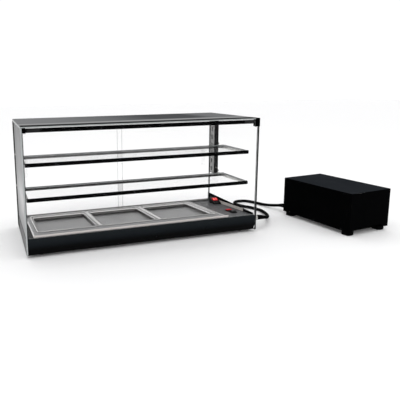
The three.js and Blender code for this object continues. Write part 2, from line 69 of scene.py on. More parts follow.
def deck(x, u, n):
    """A point on the sloping deck: u back from its front edge, n above it."""
    c, s = math.cos(DECK_SLOPE), math.sin(DECK_SLOPE)
    return at(x, DECK_Y + u * c + n * s, DECK_Z - u * s + n * c)


def unit(x, y, z):
    """A point in the remote unit's own frame, x across its front and y to its back."""
    c, s = math.cos(UNIT_TURN), math.sin(UNIT_TURN)
    return at(UNIT_X + x * c - y * s, UNIT_Y + x * s + y * c, z)


# ---------------------------------------------------------------- camera
YAW, PITCH, ROLL = 0.3099, 0.1782, -0.0121
CAMERA_PLACE = (-121.2, -1708.5, 648.4)
SENSOR_WIDTH = 36
# Focal length and shift as parts of the picture's width
FOCAL, SHIFT_X, SHIFT_Y = 1.150375, 0.168925, -0.078575


def make_camera():
    forward = Vector((math.sin(YAW) * math.cos(PITCH), math.cos(YAW) * math.cos(PITCH), -math.sin(PITCH)))
    right = forward.cross(Vector((0, 0, 1))).normalized()
    up = right.cross(forward)
    r = math.cos(ROLL) * right + math.sin(ROLL) * up
    u = -math.sin(ROLL) * right + math.cos(ROLL) * up
    data = bpy.data.cameras.new("camera")
    data.sensor_width = SENSOR_WIDTH
    data.lens = SENSOR_WIDTH * FOCAL
    data.shift_x, data.shift_y = SHIFT_X, SHIFT_Y
    data.clip_start, data.clip_end = 0.05, 60
    camera = bpy.data.objects.new("camera", data)
    bpy.context.scene.collection.objects.link(camera)
    place = at(*CAMERA_PLACE)
    camera.matrix_world = Matrix((
        (r.x, u.x, -forward.x, place.x),
        (r.y, u.y, -forward.y, place.y),
        (r.z, u.z, -forward.z, place.z),
        (0, 0, 0, 1),
    ))
    bpy.context.scene.camera = camera


make_camera()


# ---------------------------------------------------------------- materials
class Shade:
    """A material under construction: its tree, its shader and short ways to add nodes."""

    def __init__(self, name, base, rough, metal=0.0, **sockets):
        self.mat = bpy.data.materials.new(name)
        self.mat.use_nodes = True
        self.tree = self.mat.node_tree
        self.shader = self.tree.nodes["Principled BSDF"]
        self.coords = self.tree.nodes.new("ShaderNodeTexCoord").outputs["Object"]
        self.set("Base Color", (*base, 1))
        self.set("Roughness", rough)
        self.set("Metallic", metal)
        for key, value in sockets.items():
            self.set(key.replace("_", " "), value)

    def set(self, socket, value):
        self.shader.inputs[socket].default_value = value

    def node(self, kind, **values):
        n = self.tree.nodes.new(kind)
        for key, value in values.items():
            n.inputs[key.replace("_", " ")].default_value = value
        return n

    def link(self, a, b):
        self.tree.links.new(a, b)

    def mapped(self, scale, turn=(0, 0, 0)):
        m = self.node("ShaderNodeMapping", Scale=scale, Rotation=turn)
        self.link(self.coords, m.inputs["Vector"])
        return m.outputs["Vector"]

    def noise(self, scale, detail=3.0, rough=0.55, vector=None):
        n = self.node("ShaderNodeTexNoise", Scale=scale, Detail=detail, Roughness=rough)
        self.link(vector or self.coords, n.inputs["Vector"])
        return n.outputs["Fac"]

    def ranged(self, value, low, high, start=0.3, end=0.7):
        n = self.node("ShaderNodeMapRange")
        for key, v in (("From Min", start), ("From Max", end), ("To Min", low), ("To Max", high)):
            n.inputs[key].default_value = v
        self.link(value, n.inputs["Value"])
        return n.outputs["Result"]

    def colours(self, value, stops):
        n = self.tree.nodes.new("ShaderNodeValToRGB")
        ramp = n.color_ramp
        ramp.elements[1].position = stops[-1][0]
        ramp.elements[0].position = stops[0][0]
        for place, _ in stops[1:-1]:
            ramp.elements.new(place)
        for element, (_, colour) in zip(ramp.elements, stops):
            element.color = (*colour, 1)
        self.link(value, n.inputs["Fac"])
        return n.outputs["Color"]

    def bumps(self, *layers):
        """Each layer is (height socket, strength, distance in metres)."""
        normal = None
        for height, strength, distance in layers:
            b = self.node("ShaderNodeBump", Strength=strength, Distance=distance)
            self.link(height, b.inputs["Height"])
            if normal:
                self.link(normal, b.inputs["Normal"])
            normal = b.outputs["Normal"]
        self.link(normal, self.shader.inputs["Normal"])


def painted(name, dark, light, rough, spec, grain=0.2):
    """Paint on sheet metal: cloudy colour, uneven gloss and a fine orange-peel grain."""
    s = Shade(name, dark, rough, Specular_IOR_Level=spec)
    s.link(s.colours(s.noise(5, 4), [(0.35, dark), (0.65, light)]), s.shader.inputs["Base Color"])
    s.link(s.ranged(s.noise(45, 4), rough - 0.05, rough + 0.08), s.shader.inputs["Roughness"])
    s.bumps((s.noise(2400, 2), grain, 0.00005), (s.noise(300, 2), grain * 0.4, 0.00008))
    return s.mat


def along_axis(s, axis, low, high):
    """How far along one axis, from 0 at low to 1 at high, both in metres."""
    split = s.tree.nodes.new("ShaderNodeSeparateXYZ")
    s.link(s.coords, split.inputs[0])
    return s.ranged(split.outputs[axis], 0, 1, low, high)


def graded(s, axis, low, high, stops):
    """Colour that changes along one axis between two places, in metres."""
    s.link(s.colours(along_axis(s, axis, low, high), stops), s.shader.inputs["Base Color"])


def fascia_enamel(name):
    """Glossy black enamel with painted shade, darker where the front folds under towards the counter."""
    s = Shade(name, (0.01, 0.012, 0.014), 0.3, Specular_IOR_Level=0.05)
    low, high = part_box("front_fascia")
    # Painted shade: the colour darkens from the fascia's top down to where it folds under
    graded(s, "Z", low.z, high.z, [(0.0, (0.0003, 0.0003, 0.0004)), (0.36, (0.0006, 0.0007, 0.0009)),
                                   (0.62, (0.006, 0.008, 0.010)), (1.0, (0.0105, 0.0135, 0.0155))])
    s.link(s.ranged(s.noise(45, 4), 0.26, 0.4), s.shader.inputs["Roughness"])
    s.bumps((s.noise(2400, 2), 0.1, 0.00005))
    return s.mat


BLACK_STRIP_END = 30


def deck_enamel(name):
    """Dark grey enamel on the deck, left black from its left end to the well's left edge."""
    s = Shade(name, (0.11, 0.112, 0.115), 0.3, Specular_IOR_Level=0.02)
    black, grey = (0.001, 0.001, 0.001), (0.11, 0.112, 0.115)
    low, high = at(BLACK_STRIP_END - 3, 0, 0).x, at(BLACK_STRIP_END + 3, 0, 0).x
    graded(s, "X", low, high, [(0.0, black), (0.5, black), (0.56, grey), (1.0, grey)])
    s.link(s.ranged(s.noise(45, 4), 0.24, 0.38), s.shader.inputs["Roughness"])
    s.bumps((s.noise(2400, 2), 0.06, 0.00005))
    return s.mat


BRUSH_FINE, BRUSH_LONG = 900, 7


def brushed(name, dark, light, rough, along):
    """Metal brushed along one axis: streaks in its colour, gloss and surface."""
    scale = [BRUSH_FINE] * 3
    scale[along] = BRUSH_LONG
    s = Shade(name, light, rough, 1.0)
    streak = s.noise(1.0, 3, 0.6, s.mapped(scale))
    cloud = s.noise(9, 4)
    s.link(s.colours(streak, [(0.3, dark), (0.7, light)]), s.shader.inputs["Base Color"])
    both = s.tree.nodes.new("ShaderNodeMath")
    both.operation = "ADD"
    s.link(s.ranged(streak, -0.05, 0.05), both.inputs[0])
    s.link(s.ranged(cloud, rough - 0.05, rough + 0.07), both.inputs[1])
    s.link(both.outputs[0], s.shader.inputs["Roughness"])
    s.bumps((streak, 0.1, 0.00004))
    return s.mat


def pressed_steel(name, dark, light, rough, metal=1.0):
    """Drawn sheet with a faint rolling grain, clouds of polish and hairline scratches."""
    s = Shade(name, light, rough, metal)
    cloud = s.noise(7, 4)
    grain = s.noise(1.0, 3, 0.6, s.mapped((12, 900, 900)))
    scratch = s.noise(1.0, 4, 0.7, s.mapped((40, 600, 400), (0, 0, 0.5)))
    s.link(s.colours(cloud, [(0.3, dark), (0.7, light)]), s.shader.inputs["Base Color"])
    s.link(s.ranged(scratch, rough - 0.04, rough + 0.05), s.shader.inputs["Roughness"])
    s.bumps((cloud, 0.02, 0.0005), (grain, 0.04, 0.00002))
    return s.mat


def moulded(name, base, rough, spec=0.2):
    """Moulded plastic with a fine spark-eroded texture."""
    s = Shade(name, base, rough, Specular_IOR_Level=spec)
    lighter = tuple(min(1, c * 1.4 + 0.001) for c in base)
    s.link(s.colours(s.noise(30, 3), [(0.35, base), (0.65, lighter)]), s.shader.inputs["Base Color"])
    s.link(s.ranged(s.noise(900, 2), rough - 0.06, rough + 0.08), s.shader.inputs["Roughness"])
    s.bumps((s.noise(1800, 2), 0.25, 0.00004))
    return s.mat


def rubber(name):
    """Dull black rubber, a little dusty in patches."""
    s = Shade(name, (0.003, 0.003, 0.0035), 0.75, Specular_IOR_Level=0.02)
    s.link(s.colours(s.noise(22, 4), [(0.35, (0.001, 0.001, 0.0012)), (0.7, (0.003, 0.003, 0.0033))]),
           s.shader.inputs["Base Color"])
    s.link(s.ranged(s.noise(140, 3), 0.65, 0.85), s.shader.inputs["Roughness"])
    s.bumps((s.noise(1400, 2), 0.25, 0.00006))
    return s.mat


def grazing(s, power):
    """How near edge-on a face is seen, from 0 face-on to 1, raised to a power."""
    weight = s.node("ShaderNodeLayerWeight", Blend=0.5)
    steep = s.tree.nodes.new("ShaderNodeMath")
    steep.operation = "POWER"
    steep.inputs[1].default_value = power
    s.link(weight.outputs["Facing"], steep.inputs[0])
    return steep.outputs[0]


def mixed(s, kind, factor, a, b):
    """Colour a mixed with colour b; the factor is a number or a socket."""
    mix = s.tree.nodes.new("ShaderNodeMix")
    mix.data_type = "RGBA"
    mix.blend_type = kind
    for key, value in (("Factor", factor), ("A", a), ("B", b)):
        if isinstance(value, bpy.types.NodeSocket):
            s.link(value, mix.inputs[key])
        else:
            mix.inputs[key].default_value = value
    return mix.outputs["Result"]


def pane(name, reflection_grey, face_on, edge_on, power, rough=0.04):
    """Thin glass: clear when looked through; where it is seen at a low angle its grey shows as a painted
    reflection.
    """
    s = Shade(name, reflection_grey, rough, Specular_IOR_Level=0.5)
    s.link(s.ranged(grazing(s, power), face_on, edge_on, 0, 1), s.shader.inputs["Alpha"])
    lighter = tuple(c * 1.06 for c in reflection_grey)
    # The grey base colour is a painted reflection, shown as the glass turns edge-on
    s.link(s.colours(s.noise(4, 3), [(0.3, reflection_grey), (0.7, lighter)]), s.shader.inputs["Base Color"])
    s.link(s.ranged(s.noise(6, 4), rough * 0.6, rough * 2), s.shader.inputs["Roughness"])
    return s.mat


# The top glass's painted shade and reflection from its left end to its right one
TOP_PAINTED_GREYS = [
    (0.0, (0.17, 0.172, 0.177)), (0.2, (0.15, 0.153, 0.157)), (0.42, (0.10, 0.104, 0.108)),
    (0.6, (0.045, 0.047, 0.05)), (0.79, (0.05, 0.052, 0.055)), (0.87, (0.13, 0.132, 0.137)),
    (1.0, (0.145, 0.147, 0.15)),
]
# How far back from its front edge the light strip and its dark border reach, in mm
STRIP_REACH = 150


def smoked(name):
    """Grey top glass with painted shade and reflection along its length, and a lighter strip with a dark
    border near its front edge.
    """
    s = Shade(name, (0.03, 0.03, 0.033), 0.16, Alpha=0.985, Coat_Weight=0.04, Specular_IOR_Level=0.0)
    black, dark, white = (0, 0, 0), (0.02, 0.02, 0.02), (1, 1, 1)
    depth = along_axis(s, "Y", TOP_LOW.y, TOP_LOW.y + STRIP_REACH * MM)
    # body carries the painted shade and reflection along the glass's length
    body = s.colours(along_axis(s, "X", TOP_LOW.x, TOP_HIGH.x), TOP_PAINTED_GREYS)
    strip = s.colours(depth, [(0.0, dark), (0.34, dark), (0.42, white), (0.82, white), (0.95, black)])
    mask = s.colours(depth, [(0.0, white), (0.84, white), (0.98, black)])
    pale = mixed(s, "MULTIPLY", 1, strip, (0.24, 0.242, 0.245, 1))
    s.link(mixed(s, "MIX", mask, body, pale), s.shader.inputs["Base Color"])
    s.link(s.ranged(s.noise(8, 4), 0.12, 0.24), s.shader.inputs["Roughness"])
    return s.mat


# Height as a part of the pane's own, and the painted reflection grey it shows there; the dark step is the
# base wall's top
PANE_PAINTED_GREYS = [(0.0, 0.2), (0.158, 0.25), (0.162, 0.02), (0.172, 0.02), (0.176, 0.42), (0.3, 0.46),
              (0.45, 0.6), (0.65, 0.42), (0.83, 0.38), (1.0, 0.32)]
WALL_TOP = 0.16
REAR_STRIP = 0.76


def side_pane(name, veil, power, rear, solid, foot=1.0):
    """A side glass seen from close beside it; its greys up its height are a painted reflection.

    veil is how opaque it is edge-on; rear and solid are the tone and opacity of the strip bonded to
    the rear post; foot is how bright the part in front of the base wall is.
    """
    s = Shade(name, (0.4, 0.4, 0.405), 0.1, Coat_Weight=0.05, Specular_IOR_Level=0.0)
    height = along_axis(s, "Z", 0, TOP_LOW.z)
    depth = along_axis(s, "Y", TOP_LOW.y, TOP_HIGH.y)
    greys = [(z, grey * foot if z < WALL_TOP else grey) for z, grey in PANE_PAINTED_GREYS]
    # tone is the painted reflection grey up the pane's height
    tone = s.colours(height, [(z, (grey, grey, grey * 1.01)) for z, grey in greys])
    white, strip = (1, 1, 1), (rear, rear, rear)
    band = s.colours(depth, [(0.0, white), (REAR_STRIP, white), (REAR_STRIP + 0.005, strip), (1.0, strip)])
    s.link(mixed(s, "MULTIPLY", 1, tone, band), s.shader.inputs["Base Color"])
    opaque = s.tree.nodes.new("ShaderNodeMath")
    opaque.operation = "MAXIMUM"
    s.link(s.ranged(grazing(s, power), 0.01, veil, 0, 1), opaque.inputs[0])
    s.link(s.ranged(band, solid, 0.0, rear, 1), opaque.inputs[1])
    s.link(opaque.outputs[0], s.shader.inputs["Alpha"])
    s.link(s.ranged(s.noise(8, 4), 0.06, 0.16), s.shader.inputs["Roughness"])
    return s.mat


def glass_edge(name, dark, light):
    """The ground edge of a pane, coloured as a painted highlight or a painted shade."""
    s = Shade(name, dark, 0.18, Specular_IOR_Level=0.12)
    s.link(s.colours(s.noise(18, 3), [(0.3, dark), (0.7, light)]), s.shader.inputs["Base Color"])
    s.link(s.ranged(s.noise(300, 3), 0.12, 0.3), s.shader.inputs["Roughness"])
    return s.mat


def lit(name, colour, strength, base):
    """Translucent plastic with light behind it."""
    lighter = tuple(min(1, c * 1.15) for c in base)
    s = Shade(name, base, 0.4, Emission_Color=(*colour, 1), Emission_Strength=strength,
              Specular_IOR_Level=0.1)
    s.link(s.colours(s.noise(60, 2), [(0.3, base), (0.7, lighter)]), s.shader.inputs["Base Color"])
    s.link(s.ranged(s.noise(700, 2), 0.32, 0.5), s.shader.inputs["Roughness"])
    s.bumps((s.noise(900, 2), 0.15, 0.00005))
    return s.mat


MAT = {
    "black_gloss": fascia_enamel("black_enamel"),
    "black_sheet": painted("black_powder_coat", (0.0005, 0.0006, 0.0007), (0.0009, 0.001, 0.0012),
                           0.55, 0.004),
    "deck_enamel": deck_enamel("deck_enamel"),
    "stainless": pressed_steel("pressed_steel", (0.20, 0.20, 0.203), (0.24, 0.24, 0.243), 0.34),
    "clear_glass": pane("clear_glass", (0.20, 0.205, 0.21), 0.006, 1.0, 11),
    "acrylic": pane("clear_acrylic", (0.72, 0.73, 0.73), 0.05, 0.6, 4),
    "smoked_glass": smoked("smoked_glass"),
    "anodised": brushed("anodised_aluminium", (0.20, 0.20, 0.198), (0.30, 0.30, 0.295), 0.38, 2),
    "black_plastic": moulded("black_plastic", (0.003, 0.003, 0.0034), 0.45),
    "rubber": rubber("black_rubber"),
    "opal": lit("opal_diffuser", (1.0, 0.97, 0.92), 1.2, (0.8, 0.8, 0.78)),
    "red_plastic": lit("red_lens", (1.0, 0.01, 0.02), 0.12, (0.6, 0.003, 0.008)),
    "nickel": brushed("nickel_plate", (0.42, 0.42, 0.40), (0.58, 0.58, 0.56), 0.24, 0),
    "fins": brushed("mill_aluminium", (0.30, 0.31, 0.32), (0.45, 0.46, 0.47), 0.4, 2),
}
# A ground glass edge darkened as painted shade
SHADED_EDGE = glass_edge("shaded_glass_edge", (0.004, 0.005, 0.006), (0.008, 0.009, 0.01))
# The remote unit's top, lighter than its black sides as a painted highlight from overhead light
UNIT_TOP_HIGHLIGHT = painted("unit_top_highlight", (0.014, 0.016, 0.019), (0.018, 0.020, 0.023), 0.4, 0.0, 0.1)
# Pale colour for the wall strip, a painted reflection
TRIM_REFLECTION = painted("trim_painted_reflection", (0.66, 0.62, 0.58), (0.74, 0.70, 0.66), 0.3, 0.2, 0.05)
LEFT_PANE = side_pane("left_side_glass", veil=0.97, power=3, rear=0.02, solid=0.97)
RIGHT_PANE = side_pane("right_side_glass", veil=0.2, power=9, rear=0.9, solid=0.0, foot=0.03)
# A ground glass edge lightened as painted highlight
LIT_EDGE = glass_edge("lit_glass_edge", (0.34, 0.36, 0.36), (0.44, 0.46, 0.46))
# Lit and shaded copies of pressed steel for the trays and hems: painted highlight and painted shade
STEEL_HIGHLIGHT = pressed_steel("steel_painted_highlight", (0.88, 0.87, 0.865), (0.95, 0.94, 0.935), 0.14, 0.55)
# A paler copy of the pan's steel for its front lip, a painted highlight
LIP_HIGHLIGHT = painted("lip_painted_highlight", (0.62, 0.58, 0.56), (0.70, 0.66, 0.64), 0.3, 0.2, 0.05)
STEEL_SHADE = pressed_steel("steel_painted_shade", (0.09, 0.088, 0.086), (0.125, 0.123, 0.121), 0.3)
MARK = lit("lit_segment", (1.0, 0.30, 0.26), 1.6, (0.9, 0.2, 0.18))


def paint(obj, material):
    obj.data.materials.clear()
    obj.data.materials.append(material)


for node, slot in SLOT_OF.items():
    paint(NODES[node], MAT[slot])


# ---------------------------------------------------------------- mesh tools
def new_object(name, mesh, material, body):
    obj = bpy.data.objects.new(name, mesh)
    bpy.context.scene.collection.objects.link(obj)
    paint(obj, material)
    if body:
        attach(obj, body)
    return obj


def bevelled(obj, width, segments, angle=35):
    """Round the sharp edges of obj and keep its flat faces shaded flat."""
    for face in obj.data.polygons:
        face.use_smooth = True
    bevel = obj.modifiers.new("round", "BEVEL")
    bevel.width = width
    bevel.segments = segments
    bevel.limit_method = "ANGLE"
    bevel.angle_limit = math.radians(angle)
    even = obj.modifiers.new("even", "WEIGHTED_NORMAL")
    even.weight = 100
    with bpy.context.temp_override(object=obj, active_object=obj):
        bpy.ops.object.modifier_apply(modifier="round")
        bpy.ops.object.modifier_apply(modifier="even")


def copied(node, width, segments=2):
    """A copy of a CAD node with its sharp edges rounded over, which stands for it."""
    bm = bmesh.new()
    bm.from_mesh(NODES[node].data)
    bmesh.ops.remove_doubles(bm, verts=bm.verts, dist=1e-6)
    bmesh.ops.dissolve_limit(bm, angle_limit=math.radians(1.5), verts=bm.verts, edges=bm.edges)
    mesh = bpy.data.meshes.new(node + "_shape")
    bm.to_mesh(mesh)
    bm.free()
    obj = new_object(node + "_shape", mesh, MAT[SLOT_OF[node]], BODY_OF[node])
    bevelled(obj, width, segments)
    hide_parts(node)
    return obj


def patch(obj, material, where):
    """Give the faces that where() picks a second material."""
    obj.data.materials.append(material)
    last = len(obj.data.materials) - 1
    for face in obj.data.polygons:
        if where(face):
            face.material_index = last


def mesh_piece(name, verts, faces, material, body, smooth=40):
    mesh = bpy.data.meshes.new(name)
    mesh.from_pydata([tuple(v) for v in verts], [], faces)
    bm = bmesh.new()
    bm.from_mesh(mesh)
    bmesh.ops.recalc_face_normals(bm, faces=bm.faces)
    bm.to_mesh(mesh)
    bm.free()
    for face in mesh.polygons:
        face.use_smooth = True
    mesh.set_sharp_from_angle(angle=math.radians(smooth))
    return new_object(name, mesh, material, body)


def loft(rings, cap=True):
    """Faces between rings of equal length, each ring a closed loop; cap fills the two ends."""
    n = len(rings[0])
    verts = [v for ring in rings for v in ring]
    faces = []
    for i in range(len(rings) - 1):
        for k in range(n):
            j = (k + 1) % n
            faces.append((i * n + k, i * n + j, (i + 1) * n + j, (i + 1) * n + k))
    if cap:
        faces.append(tuple(range(n)))
        faces.append(tuple((len(rings) - 1) * n + k for k in range(n)))
    return verts, faces


def merged(*shapes):
    verts, faces = [], []
    for v, f in shapes:
        start = len(verts)
        verts += v
        faces += [tuple(i + start for i in face) for face in f]
    return verts, faces


def turned(centre, axis, profile, sides=24):
    """Rings of (radius, distance along axis) around a line."""
    axis = Vector(axis).normalized()
    side = axis.orthogonal().normalized()
    other = axis.cross(side)
    angles = [2 * math.pi * k / sides for k in range(sides)]
    return [[centre + axis * h * MM + (side * math.cos(t) + other * math.sin(t)) * r * MM for t in angles]
            for r, h in profile]


def rounded_box(low, high, radius, segments=3):
    """A box from its low corner to its high one, its four upright edges and its rims rounded."""
    (x0, y0, z0), (x1, y1, z1) = low, high
    rim = radius * 0.4
    rings = []
    for inset, z in ((rim, z0), (0, z0 + rim), (0, z1 - rim), (rim, z1)):
        rings.append(round_rect(x0 + inset, x1 - inset, y0 + inset, y1 - inset, radius, z, segments))
    return rings


def round_rect(x0, x1, y0, y1, r, z, segments=7):
    points = []
    corners = ((x1 - r, y0 + r, -90), (x1 - r, y1 - r, 0), (x0 + r, y1 - r, 90), (x0 + r, y0 + r, 180))
    for cx, cy, start in corners:
        for k in range(segments + 1):
            t = math.radians(start + 90 * k / segments)
            points.append((cx + r * math.cos(t), cy + r * math.sin(t), z))
    return points


# ---------------------------------------------------------------- hose
# Points along the hose in the case's frame: out of the case, one loop on the counter, up to the unit
HOSE_ROUTE = [
    (1012, 31, 57), (1028, 31, 57), (1045, 33, 55.4), (1068, 42.5, 50), (1098, 66.5, 40), (1130, 105, 28.5),
    (1161, 151, 19), (1187, 203, 12.5), (1202, 252, 9.5), (1204, 298, 8), (1191, 340, 8), (1171, 375, 8),
    (1155, 410.4, 8), (1151.5, 438.7, 8), (1162.7, 464.9, 8), (1185.4, 482, 8), (1213.7, 485.5, 8),
    (1239.9, 474.3, 8), (1258, 451, 8), (1270, 419, 8), (1281, 382, 9), (1290.5, 344, 12.5),
    (1299.5, 306, 19), (1308.5, 272, 26.5), (1314.6, 250, 31.2), (1317.7, 236, 32),
    (1319, 224, 32), (1320.4, 212.4, 32),
]
HOSE_D = 15 * MM


def smooth_route(points, steps):
    """Centripetal Catmull-Rom through the points."""
    p = [np.array(q, float) for q in points]
    p = [2 * p[0] - p[1]] + p + [2 * p[-1] - p[-2]]
    out = []
    for a, b, c, d in zip(p, p[1:], p[2:], p[3:]):
        t0 = 0.0
        t1 = t0 + math.sqrt(np.linalg.norm(b - a))
        t2 = t1 + math.sqrt(np.linalg.norm(c - b))
        t3 = t2 + math.sqrt(np.linalg.norm(d - c))
        for k in range(steps):
            t = t1 + (t2 - t1) * k / steps
            a1 = (t1 - t) / (t1 - t0) * a + (t - t0) / (t1 - t0) * b
            a2 = (t2 - t) / (t2 - t1) * b + (t - t1) / (t2 - t1) * c
            a3 = (t3 - t) / (t3 - t2) * c + (t - t2) / (t3 - t2) * d
            b1 = (t2 - t) / (t2 - t0) * a1 + (t - t0) / (t2 - t0) * a2
            b2 = (t3 - t) / (t3 - t1) * a2 + (t - t1) / (t3 - t1) * a3
            out.append((t2 - t) / (t2 - t1) * b1 + (t - t1) / (t2 - t1) * b2)
    out.append(p[-2])
    return out


def make_hose():
    route = [at(*q) for q in smooth_route(HOSE_ROUTE, 8)]
    curve = bpy.data.curves.new("hose_line", "CURVE")
    curve.dimensions = "3D"
    curve.bevel_depth = HOSE_D / 2
    curve.bevel_resolution = 5
    curve.use_fill_caps = True
    spline = curve.splines.new("POLY")
    spline.points.add(len(route) - 1)
    for point, place in zip(spline.points, route):
        point.co = (*place, 1)
    spline.use_smooth = True
    obj = bpy.data.objects.new("hose_tube", curve)
    bpy.context.scene.collection.objects.link(obj)
    obj.data.materials.append(MAT["rubber"])
    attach(obj, "case")
    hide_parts("hose")


# ---------------------------------------------------------------- hose sleeves
RIB_PITCH, RIB_HEIGHT = 2.2, 0.7
SLEEVE_THICK, SLEEVE_THIN, SLEEVE_GAP = 11.2, 8.2, 0.15


def sleeve(name, route, length):
    """A ribbed rubber sleeve round the hose, tapering away from its gland."""
    bore = HOSE_D / MM / 2 + SLEEVE_GAP
    path = [at(*q) for q in route]
    rings_out, rings_in, walked, step = [], [], 0.0, 0
    for a, b in zip(path, path[1:]):
        if walked > length * MM:
            break
        t = walked / (length * MM)
        rib = RIB_HEIGHT if step % 2 else 0.0
        radius = SLEEVE_THICK + (SLEEVE_THIN - SLEEVE_THICK) * t + rib * (1 - t)
        rings_out.append(turned(a, b - a, [(radius, 0)])[0])
        rings_in.append(turned(a, b - a, [(bore, 0)])[0])
        walked += (b - a).length
        step += 1
    verts, faces = loft(rings_out + rings_in[::-1] + rings_out[:1], cap=False)
    return mesh_piece(name, verts, faces, MAT["rubber"], "case", 60)


def walk(points, start, spacing):
    """Points spaced evenly along a line, from a distance past its start."""
    out, left, place = [], start, np.array(points[0], float)
    for q in points[1:]:
        q = np.array(q, float)
        while np.linalg.norm(q - place) >= left:
            place = place + (q - place) / np.linalg.norm(q - place) * left
            out.append(tuple(place))
            left = spacing
        left -= np.linalg.norm(q - place)
        place = q
    return out


fine_route = smooth_route(HOSE_ROUTE, 12)
sleeve("hose_sleeve_case", walk(fine_route, 12, RIB_PITCH), length=42)
sleeve("hose_sleeve_unit", walk(fine_route[::-1], 16.5, RIB_PITCH), length=38)
make_hose()


# ---------------------------------------------------------------- sheet metal and mouldings
for node in ["front_fascia", "base_tub", "light_profile", "rear_top_track", "rear_bottom_track",
             "unit_chassis", "corner_cap_left", "corner_cap_right", "switch_plate",
             "thermostat_window", "unit_mains_inlet", "unit_fan_guard"]:
    copied(node, 0.5 * MM)
for node in ["thermostat_body", "power_rocker", "light_rocker", "thermostat_button_1", "thermostat_button_2",
             "door_pull_left", "door_pull_right", "post_cover_left", "post_cover_right"]:
    copied(node, 0.8 * MM, 3)
for level in ("lower", "upper"):
    for kind in ("front", "rear"):
        copied(f"shelf_{kind}_bar_{level}", 0.7 * MM)
    for side in ("left", "right"):
        copied(f"shelf_arm_{level}_{side}", 0.6 * MM)
for place in ("front_left", "front_right", "rear_left", "rear_right"):
    copied(f"foot_{place}", 0.8 * MM, 3)
    copied(f"unit_foot_{place}", 1.2 * MM, 3)
for node in ("hose_gland", "unit_hose_gland"):
    copied(node, 0.4 * MM)

# Strip on the right wall, following the fall of the deck, pale as a painted reflection; its corners as (y,
# z)
STRIP_CORNERS = ((95, 71.9), (95, 85.4), (318, 71), (318, 56.2))
strip_low, strip_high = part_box("side_wall_trim")
outline = [at(0, y, z) for y, z in STRIP_CORNERS]
rings = [[Vector((x, q.y, q.z)) for q in outline] for x in (strip_low.x, strip_high.x)]
verts, faces = loft(rings)
trim = mesh_piece("wall_strip", verts, faces, TRIM_REFLECTION, "case")
bevelled(trim, 0.4 * MM, 2)
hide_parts("side_wall_trim")

copied("deck_plate", 0.4 * MM)

# The posts are blacked where they meet the glass
for side, sign in (("left", -1), ("right", 1)):
    post = copied(f"rear_post_{side}", 0.4 * MM)
    patch(post, MAT["black_plastic"], lambda face, sign=sign: face.normal.x * sign > 0.7)

cover = copied("unit_cover", 0.8 * MM, 3)
cover_top = at(0, 0, 180).z
# The cover's top faces get the painted highlight
patch(cover, UNIT_TOP_HIGHLIGHT, lambda face: face.normal.z > 0.9 and face.center.z > cover_top)

pan = copied("well_pan", 0.5 * MM)
lip_back = at(0, 12, 0).y
# The lip's front-facing faces get the painted highlight
patch(pan, LIP_HIGHLIGHT, lambda face: face.normal.y < -0.3 and face.center.y < lip_back)


# ---------------------------------------------------------------- panes
def polished(node, width, edge, arris, face_material=None, side=1):
    """A pane with ground edges: clear faces, an edge in painted highlight or painted shade, and a narrow
    arris between them.
    """
    obj = copied(node, width, 1)
    if face_material:
        obj.data.materials[0] = face_material
    low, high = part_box(node)
    thin = min(range(3), key=lambda i: (high - low)[i])
    patch(obj, edge, lambda face: abs(face.normal[thin]) < 0.97)
    patch(obj, arris, lambda face: 0.3 <= face.normal[thin] * side < 0.97)


# Each pane's edge and arris get either the painted highlight copy or the painted shade copy
polished("side_glass_left", 2.3 * MM, LIT_EDGE, SHADED_EDGE, LEFT_PANE)
polished("side_glass_right", 1.0 * MM, SHADED_EDGE, SHADED_EDGE, RIGHT_PANE)
polished("top_glass", 1.5 * MM, LIT_EDGE, SHADED_EDGE)
polished("front_glass", 0.6 * MM, SHADED_EDGE, LIT_EDGE)
for node in ("door_left", "door_right"):
    polished(node, 0.5 * MM, LIT_EDGE, LIT_EDGE)
for node in ("shelf_glass_lower", "shelf_glass_upper"):
    polished(node, 0.6 * MM, LIT_EDGE, LIT_EDGE)


# ---------------------------------------------------------------- trays
TRAY_X0, TRAY_U0, TRAY_W, TRAY_L, TRAY_PITCH = 51, 88, 265, 325, 267
# Inset from the outline, height above the deck and corner radius: bead, rim, wall, floor, then underneath
TRAY_SECTION = [
    (1.6, 1.9, 11), (0.5, 2.2, 12), (0, 3.2, 12.5), (0.7, 4.2, 12), (2.2, 4.7, 11), (3.7, 4.2, 10),
    (4.6, 3.1, 9.5), (6.5, 2.8, 9), (12, 2.8, 9), (13.6, 2.3, 22), (14.6, 0.8, 22), (15.4, -3, 21),
    (16.6, -11, 20), (17.8, -13.4, 19), (20.5, -14.4, 17), (27, -14.6, 14), (27, -15.2, 14),
    (19.5, -15.1, 17), (16.2, -13.8, 19), (15, -11, 20), (13.8, -3, 21), (13, 0.6, 22),
    (11, 1.9, 9), (1.6, 1.9, 11),
]
# Rings that take the painted highlight (bead, shoulder) and the painted shade (flat rim and walls)
BEAD, SHOULDER, FLOOR = range(0, 6), range(9, 11), 15
SHADED_RINGS = (*range(6, 9), *range(11, 14))


